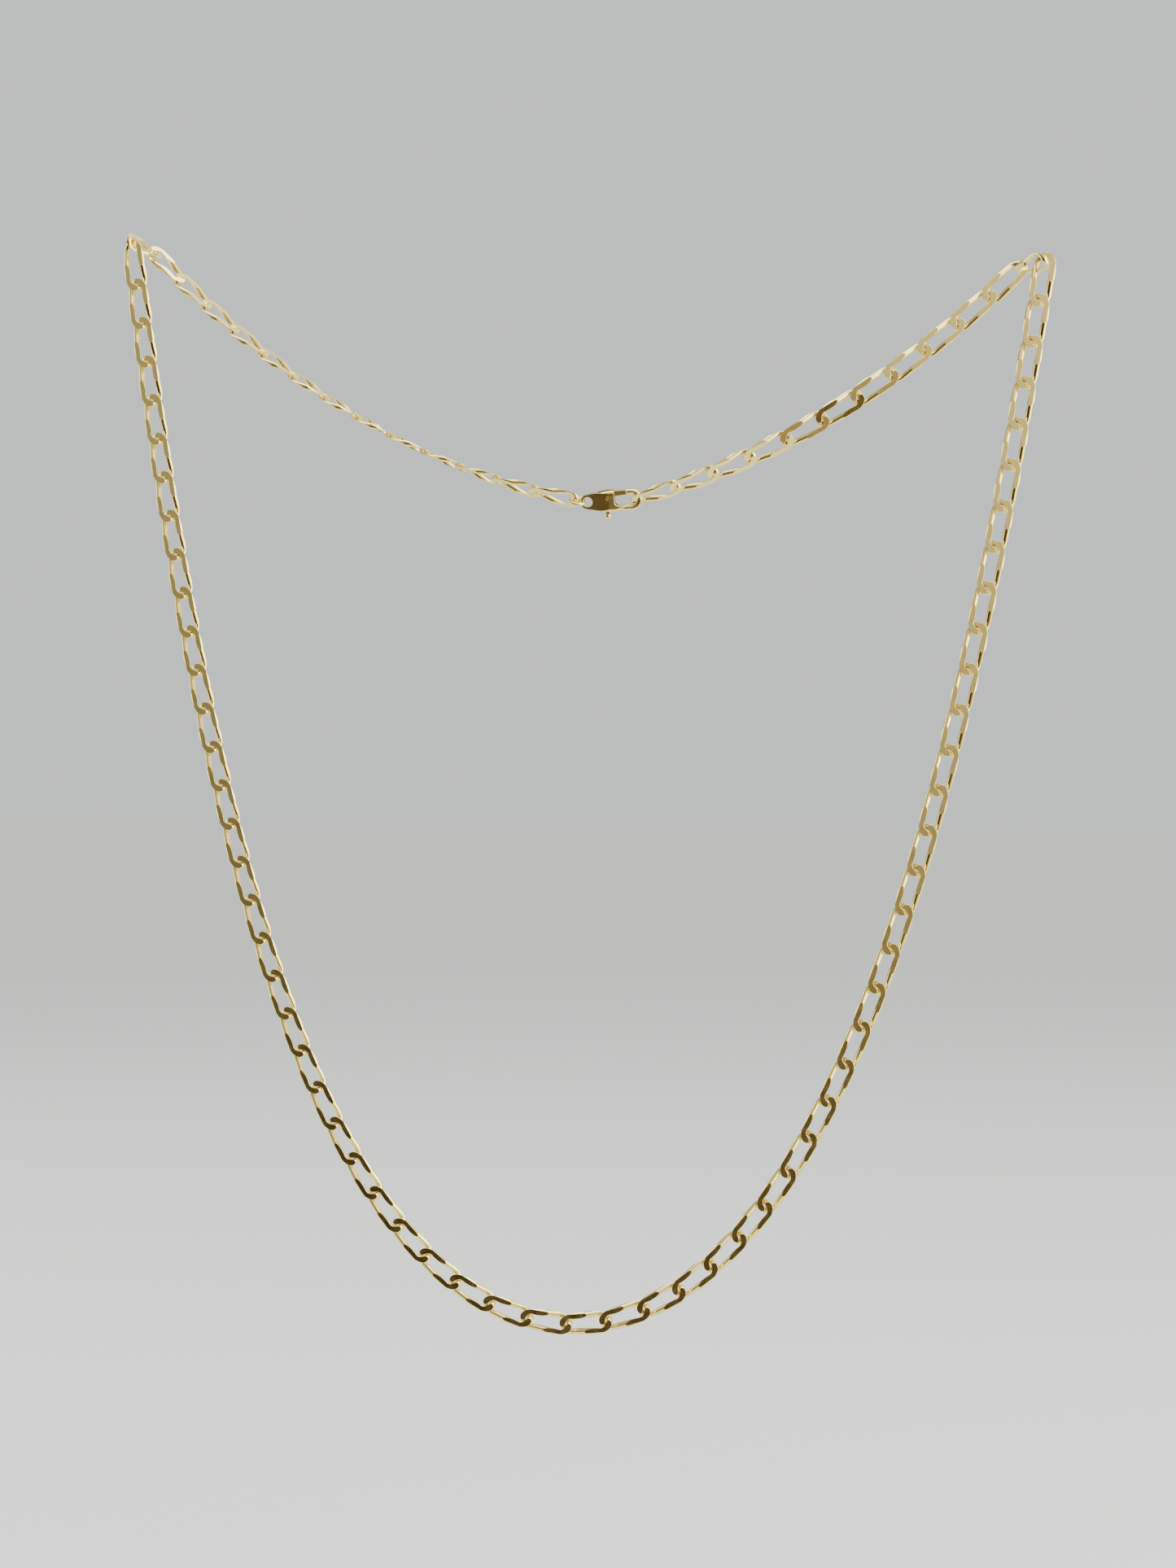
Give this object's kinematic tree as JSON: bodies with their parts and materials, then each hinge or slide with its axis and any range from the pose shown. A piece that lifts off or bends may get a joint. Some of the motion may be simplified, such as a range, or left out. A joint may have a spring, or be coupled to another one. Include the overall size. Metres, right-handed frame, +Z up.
{
  "type": "chain necklace",
  "caption": "Fine necklace of long flat-filed curb links, closed by a lobster clasp and jump ring, draped over two supports.",
  "frame": {"origin": "midway between the two places where the necklace lies over its supports", "axes": "+Z up, -Y towards the viewer of the front drape, +X to the viewer's right"},
  "size_m": [0.1338, 0.0075, 0.1577],
  "materials": {
    "gold": "polished",
    "spring_steel": "satin"
  },
  "bodies": {
    "supports": {"support_link_left": "gold", "support_link_right": "gold"},
    "front_01": {"front_links_01": "gold"},
    "front_02": {"front_links_02": "gold"},
    "front_03": {"front_links_03": "gold"},
    "front_04": {"front_links_04": "gold"},
    "front_05": {"front_links_05": "gold"},
    "front_06": {"front_links_06": "gold"},
    "front_07": {"front_links_07": "gold"},
    "front_08": {"front_links_08": "gold"},
    "front_09": {"front_links_09": "gold"},
    "front_10": {"front_links_10": "gold"},
    "front_11": {"front_links_11": "gold"},
    "front_12": {"front_links_12": "gold"},
    "front_13": {"front_links_13": "gold"},
    "front_14": {"front_links_14": "gold"},
    "front_15": {"front_links_15": "gold"},
    "front_16": {"front_links_16": "gold"},
    "front_17": {"front_links_17": "gold"},
    "front_18": {"front_links_18": "gold"},
    "front_19": {"front_links_19": "gold"},
    "front_20": {"front_links_20": "gold"},
    "front_21": {"front_links_21": "gold"},
    "front_22": {"front_links_22": "gold"},
    "front_23": {"front_links_23": "gold"},
    "front_24": {"front_links_24": "gold"},
    "front_25": {"front_links_25": "gold"},
    "front_26": {"front_links_26": "gold"},
    "front_27": {"front_links_27": "gold"},
    "front_28": {"front_links_28": "gold"},
    "front_29": {"front_links_29": "gold"},
    "front_30": {"front_links_30": "gold"},
    "front_31": {"front_links_31": "gold"},
    "back_01": {"back_links_01": "gold"},
    "back_02": {"back_links_02": "gold"},
    "back_03": {"back_links_03": "gold"},
    "back_04": {"back_links_04": "gold"},
    "back_05": {"back_links_05": "gold"},
    "back_06": {"back_links_06": "gold"},
    "back_07": {"back_links_07": "gold"},
    "back_08": {"back_links_08": "gold"},
    "back_09": {"back_links_09": "gold"},
    "back_10": {"back_links_10": "gold"},
    "back_11": {"back_links_11": "gold"},
    "clasp": {"back_link_12": "gold", "clasp_body": "gold", "lever_pin": "gold", "lever_spring": "spring_steel"},
    "back_13": {"back_link_13": "gold"},
    "ring": {"jump_ring": "gold"},
    "lever": {"clasp_lever": "gold"}
  },
  "joints": [
    {"name": "front_swing_01", "type": "hinge", "parent": "supports", "child": "front_01", "pos_m": [-0.0655, -0.002, 0.0027], "axis": [0.9992, 0, -0.0412], "range_deg": [-20, 9]},
    {"name": "front_swing_02", "type": "hinge", "parent": "front_01", "child": "front_02", "pos_m": [-0.0647, -0.002, -0.00296], "axis": [-0.9991, 0, 0.0417], "range_deg": [-20, 20]},
    {"name": "front_swing_03", "type": "hinge", "parent": "front_02", "child": "front_03", "pos_m": [-0.06387, -0.002, -0.00862], "axis": [0.9991, 0, -0.0422], "range_deg": [-20, 20]},
    {"name": "front_swing_04", "type": "hinge", "parent": "front_03", "child": "front_04", "pos_m": [-0.06301, -0.002, -0.01428], "axis": [-0.9991, 0, 0.0427], "range_deg": [-20, 20]},
    {"name": "front_swing_05", "type": "hinge", "parent": "front_04", "child": "front_05", "pos_m": [-0.06213, -0.002, -0.01993], "axis": [0.9991, 0, -0.0433], "range_deg": [-20, 20]},
    {"name": "front_swing_06", "type": "hinge", "parent": "front_05", "child": "front_06", "pos_m": [-0.0612, -0.002, -0.02557], "axis": [-0.999, 0, 0.0439], "range_deg": [-20, 20]},
    {"name": "front_swing_07", "type": "hinge", "parent": "front_06", "child": "front_07", "pos_m": [-0.06025, -0.002, -0.03121], "axis": [0.999, 0, -0.0446], "range_deg": [-20, 20]},
    {"name": "front_swing_08", "type": "hinge", "parent": "front_07", "child": "front_08", "pos_m": [-0.05926, -0.002, -0.03685], "axis": [-0.999, 0, 0.0453], "range_deg": [-20, 20]},
    {"name": "front_swing_09", "type": "hinge", "parent": "front_08", "child": "front_09", "pos_m": [-0.05822, -0.002, -0.04247], "axis": [0.9989, 0, -0.0461], "range_deg": [-20, 20]},
    {"name": "front_swing_10", "type": "hinge", "parent": "front_09", "child": "front_10", "pos_m": [-0.05714, -0.002, -0.04809], "axis": [-0.9989, 0, 0.0469], "range_deg": [-20, 20]},
    {"name": "front_swing_11", "type": "hinge", "parent": "front_10", "child": "front_11", "pos_m": [-0.05602, -0.002, -0.0537], "axis": [0.9989, 0, -0.0477], "range_deg": [-20, 20]},
    {"name": "front_swing_12", "type": "hinge", "parent": "front_11", "child": "front_12", "pos_m": [-0.05484, -0.002, -0.0593], "axis": [-0.9988, 0, 0.0487], "range_deg": [-20, 20]},
    {"name": "front_swing_13", "type": "hinge", "parent": "front_12", "child": "front_13", "pos_m": [-0.0536, -0.002, -0.06488], "axis": [0.9988, 0, -0.0497], "range_deg": [-20, 20]},
    {"name": "front_swing_14", "type": "hinge", "parent": "front_13", "child": "front_14", "pos_m": [-0.0523, -0.002, -0.07045], "axis": [-0.9987, 0, 0.0508], "range_deg": [-20, 20]},
    {"name": "front_swing_15", "type": "hinge", "parent": "front_14", "child": "front_15", "pos_m": [-0.05093, -0.002, -0.076], "axis": [0.9986, 0, -0.052], "range_deg": [-20, 20]},
    {"name": "front_swing_16", "type": "hinge", "parent": "front_15", "child": "front_16", "pos_m": [-0.04948, -0.002, -0.08154], "axis": [-0.9986, 0, 0.0534], "range_deg": [-20, 20]},
    {"name": "front_swing_17", "type": "hinge", "parent": "front_16", "child": "front_17", "pos_m": [-0.04794, -0.002, -0.08705], "axis": [0.9985, 0, -0.0549], "range_deg": [-20, 20]},
    {"name": "front_swing_18", "type": "hinge", "parent": "front_17", "child": "front_18", "pos_m": [-0.04631, -0.002, -0.09253], "axis": [-0.9984, 0, 0.0565], "range_deg": [-20, 20]},
    {"name": "front_swing_19", "type": "hinge", "parent": "front_18", "child": "front_19", "pos_m": [-0.04456, -0.002, -0.09798], "axis": [0.9983, 0, -0.0584], "range_deg": [-20, 20]},
    {"name": "front_swing_20", "type": "hinge", "parent": "front_19", "child": "front_20", "pos_m": [-0.04269, -0.002, -0.10338], "axis": [-0.9982, 0, 0.0605], "range_deg": [-20, 20]},
    {"name": "front_swing_21", "type": "hinge", "parent": "front_20", "child": "front_21", "pos_m": [-0.04068, -0.002, -0.10874], "axis": [0.998, 0, -0.0629], "range_deg": [-20, 20]},
    {"name": "front_swing_22", "type": "hinge", "parent": "front_21", "child": "front_22", "pos_m": [-0.0385, -0.002, -0.11402], "axis": [-0.9978, 0, 0.0656], "range_deg": [-20, 20]},
    {"name": "front_swing_23", "type": "hinge", "parent": "front_22", "child": "front_23", "pos_m": [-0.03613, -0.002, -0.11923], "axis": [0.9976, 0, -0.0688], "range_deg": [-20, 20]},
    {"name": "front_swing_24", "type": "hinge", "parent": "front_23", "child": "front_24", "pos_m": [-0.03354, -0.002, -0.12433], "axis": [-0.9974, 0, 0.0724], "range_deg": [-20, 19]},
    {"name": "front_swing_25", "type": "hinge", "parent": "front_24", "child": "front_25", "pos_m": [-0.03068, -0.002, -0.12928], "axis": [0.9971, 0, -0.0767], "range_deg": [-17, 18]},
    {"name": "front_swing_26", "type": "hinge", "parent": "front_25", "child": "front_26", "pos_m": [-0.02751, -0.002, -0.13404], "axis": [-0.9967, 0, 0.0816], "range_deg": [-16, 16]},
    {"name": "front_swing_27", "type": "hinge", "parent": "front_26", "child": "front_27", "pos_m": [-0.02397, -0.002, -0.13854], "axis": [0.9962, 0, -0.0873], "range_deg": [-14, 13]},
    {"name": "front_swing_28", "type": "hinge", "parent": "front_27", "child": "front_28", "pos_m": [-0.02, -0.002, -0.14265], "axis": [-0.9956, 0, 0.0937], "range_deg": [-11, 12]},
    {"name": "front_swing_29", "type": "hinge", "parent": "front_28", "child": "front_29", "pos_m": [-0.01554, -0.002, -0.14624], "axis": [0.995, 0, -0.1003], "range_deg": [-10, 9]},
    {"name": "front_swing_30", "type": "hinge", "parent": "front_29", "child": "front_30", "pos_m": [-0.01058, -0.002, -0.14909], "axis": [-0.9943, 0, 0.1062], "range_deg": [-7, 8]},
    {"name": "front_swing_31", "type": "hinge", "parent": "front_30", "child": "front_31", "pos_m": [-0.00517, -0.002, -0.15094], "axis": [0.994, 0, -0.1098], "range_deg": [-7, 6]},
    {"name": "back_swing_01", "type": "hinge", "parent": "supports", "child": "back_01", "pos_m": [-0.06356, 0.00189, 0.0027], "axis": [0.9991, 0.0037, -0.0429], "range_deg": [-8, 20]},
    {"name": "back_swing_02", "type": "hinge", "parent": "back_01", "child": "back_02", "pos_m": [-0.0595, 0.0019, -0.00133], "axis": [-0.999, -0.0037, 0.0447], "range_deg": [-16, 9]},
    {"name": "back_swing_03", "type": "hinge", "parent": "back_02", "child": "back_03", "pos_m": [-0.05531, 0.00192, -0.00523], "axis": [0.9989, 0.0037, -0.0467], "range_deg": [-9, 16]},
    {"name": "back_swing_04", "type": "hinge", "parent": "back_03", "child": "back_04", "pos_m": [-0.05099, 0.00194, -0.00897], "axis": [-0.9988, -0.0037, 0.0491], "range_deg": [-16, 9]},
    {"name": "back_swing_05", "type": "hinge", "parent": "back_04", "child": "back_05", "pos_m": [-0.04653, 0.00195, -0.01256], "axis": [0.9986, 0.0037, -0.052], "range_deg": [-9, 6]},
    {"name": "back_swing_06", "type": "hinge", "parent": "back_05", "child": "back_06", "pos_m": [-0.04194, 0.00197, -0.01596], "axis": [-0.9985, -0.0037, 0.0554], "range_deg": [-5, 9]},
    {"name": "back_swing_07", "type": "hinge", "parent": "back_06", "child": "back_07", "pos_m": [-0.0372, 0.00199, -0.01917], "axis": [0.9982, 0.0037, -0.0596], "range_deg": [-8, 5]},
    {"name": "back_swing_08", "type": "hinge", "parent": "back_07", "child": "back_08", "pos_m": [-0.03233, 0.002, -0.02217], "axis": [-0.9979, -0.0036, 0.0652], "range_deg": [-5, 8]},
    {"name": "back_swing_09", "type": "hinge", "parent": "back_08", "child": "back_09", "pos_m": [-0.02732, 0.00202, -0.02493], "axis": [0.9973, 0.0036, -0.0728], "range_deg": [-8, 5]},
    {"name": "back_swing_10", "type": "hinge", "parent": "back_09", "child": "back_10", "pos_m": [-0.02218, 0.00204, -0.02744], "axis": [-0.9965, -0.0036, 0.084], "range_deg": [-5, 8]},
    {"name": "back_swing_11", "type": "hinge", "parent": "back_10", "child": "back_11", "pos_m": [-0.01691, 0.00206, -0.02967], "axis": [0.9947, 0.0036, -0.1028], "range_deg": [-4, 5]},
    {"name": "clasp_swing", "type": "hinge", "parent": "back_11", "child": "clasp", "pos_m": [-0.01154, 0.00208, -0.03162], "axis": [-0.9899, -0.0036, 0.1414], "range_deg": [-4, 4]},
    {"name": "link_13_swing", "type": "hinge", "parent": "clasp", "child": "back_13", "pos_m": [-0.00605, 0.0021, -0.03325], "axis": [0.9754, 0.0036, -0.2204], "range_deg": [-4, 4]},
    {"name": "ring_swing", "type": "hinge", "parent": "back_13", "child": "ring", "pos_m": [-0.00049, 0.00212, -0.03456], "axis": [0.9822, 0.0036, -0.1876], "range_deg": [-10, 10]},
    {"name": "lever_pivot", "type": "hinge", "parent": "clasp", "child": "lever", "pos_m": [0.00468, 0.00197, -0.03421], "axis": [0.0181, -0.9397, -0.3416], "range_deg": [-25, 0], "stiffness_Nm_per_rad": 0.0003, "springref_deg": 2.86, "deforming": ["lever_spring"]}
  ]
}
